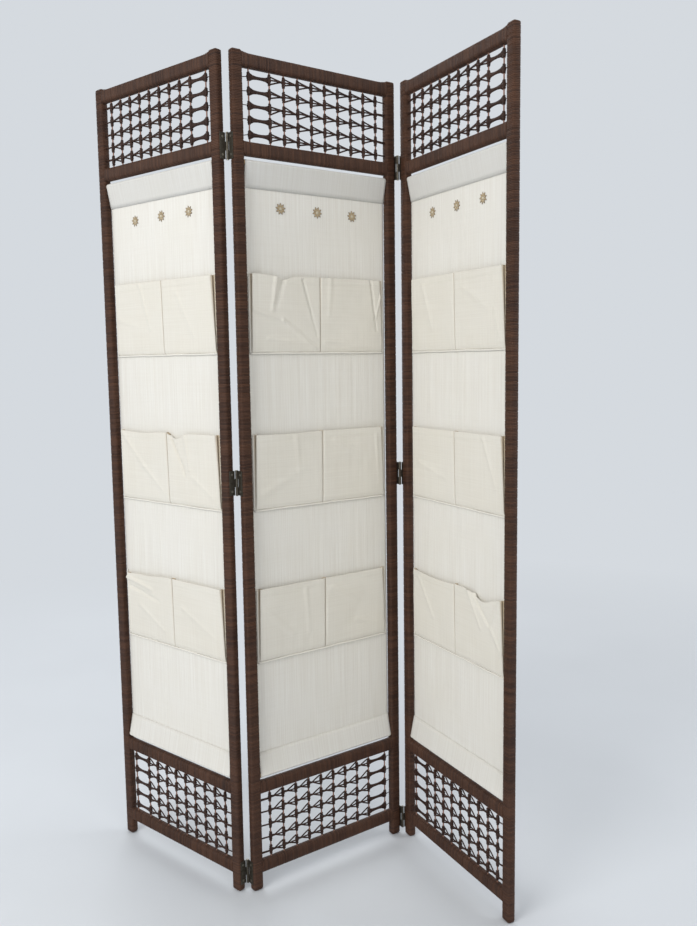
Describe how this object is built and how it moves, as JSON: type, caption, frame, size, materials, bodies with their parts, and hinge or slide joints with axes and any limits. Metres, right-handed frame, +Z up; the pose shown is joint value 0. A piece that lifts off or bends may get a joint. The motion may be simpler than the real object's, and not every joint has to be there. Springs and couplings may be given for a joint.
{
  "type": "folding room divider screen",
  "caption": "Free-standing folding screen: hinged cane-wrapped panels with woven lattices above and below a stretched cloth with rows of sewn pockets.",
  "frame": {"origin": "on the floor, at the middle of the box round the standing, half-folded screen", "axes": "+Z up; +X along the centre panel from its left edge to its right edge seen from the front; the centre panel's pocket side faces -Y; the left panel goes back from its left edge and the right panel comes forward from its right edge"},
  "size_m": [0.5334, 0.8118, 1.7],
  "materials": {
    "core_wood": "plain sanded softwood",
    "cane": "dark brown paper cane wound tight, satin",
    "bare_cane": "thin stained cane, satin",
    "curtain_cloth": "cream cotton, plain weave",
    "pocket_cloth": "cream cotton, plain weave, creased",
    "thread": "gold and brown embroidery thread",
    "hinge_steel": "dull dark zinc",
    "pin_steel": "bright zinc"
  },
  "bodies": {
    "left_panel": {"left_panel_left_stile": "core_wood", "left_panel_right_stile": "core_wood", "left_panel_top_rail": "core_wood", "left_panel_upper_rail": "core_wood", "left_panel_lower_rail": "core_wood", "left_panel_bottom_rail": "core_wood", "left_panel_cane_wrap": "cane", "left_panel_joint_pins": "core_wood", "left_panel_lattice_canes": "bare_cane", "left_panel_lattice_weave": "cane", "left_panel_curtain_rods": "core_wood", "left_panel_curtain": "curtain_cloth", "left_panel_curtain_hems": "curtain_cloth", "left_panel_upper_pockets": "pocket_cloth", "left_panel_middle_pockets": "pocket_cloth", "left_panel_lower_pockets": "pocket_cloth", "left_panel_flowers": "thread", "left_hinge_outer_leaves": "hinge_steel", "left_panel_screws": "pin_steel"},
    "centre_panel": {"centre_panel_left_stile": "core_wood", "centre_panel_right_stile": "core_wood", "centre_panel_top_rail": "core_wood", "centre_panel_upper_rail": "core_wood", "centre_panel_lower_rail": "core_wood", "centre_panel_bottom_rail": "core_wood", "centre_panel_cane_wrap": "cane", "centre_panel_joint_pins": "core_wood", "centre_panel_lattice_canes": "bare_cane", "centre_panel_lattice_weave": "cane", "centre_panel_curtain_rods": "core_wood", "centre_panel_curtain": "curtain_cloth", "centre_panel_curtain_hems": "curtain_cloth", "centre_panel_upper_pockets": "pocket_cloth", "centre_panel_middle_pockets": "pocket_cloth", "centre_panel_lower_pockets": "pocket_cloth", "centre_panel_flowers": "thread", "left_hinge_inner_leaves": "hinge_steel", "left_hinge_pins": "pin_steel", "right_hinge_inner_leaves": "hinge_steel", "right_hinge_pins": "pin_steel", "centre_panel_screws": "pin_steel"},
    "right_panel": {"right_panel_left_stile": "core_wood", "right_panel_right_stile": "core_wood", "right_panel_top_rail": "core_wood", "right_panel_upper_rail": "core_wood", "right_panel_lower_rail": "core_wood", "right_panel_bottom_rail": "core_wood", "right_panel_cane_wrap": "cane", "right_panel_joint_pins": "core_wood", "right_panel_lattice_canes": "bare_cane", "right_panel_lattice_weave": "cane", "right_panel_curtain_rods": "core_wood", "right_panel_curtain": "curtain_cloth", "right_panel_curtain_hems": "curtain_cloth", "right_panel_upper_pockets": "pocket_cloth", "right_panel_middle_pockets": "pocket_cloth", "right_panel_lower_pockets": "pocket_cloth", "right_panel_flowers": "thread", "right_hinge_outer_leaves": "hinge_steel", "right_panel_screws": "pin_steel"}
  },
  "joints": [
    {"name": "left_fold", "type": "hinge", "parent": "centre_panel", "child": "left_panel", "pos_m": [-0.15686, 0.01703, 0.854], "axis": [0, 0, -1], "range_deg": [-77, 101]},
    {"name": "right_fold", "type": "hinge", "parent": "centre_panel", "child": "right_panel", "pos_m": [0.24694, -0.00737, 0.854], "axis": [0, 0, -1], "range_deg": [-99, 79]}
  ]
}
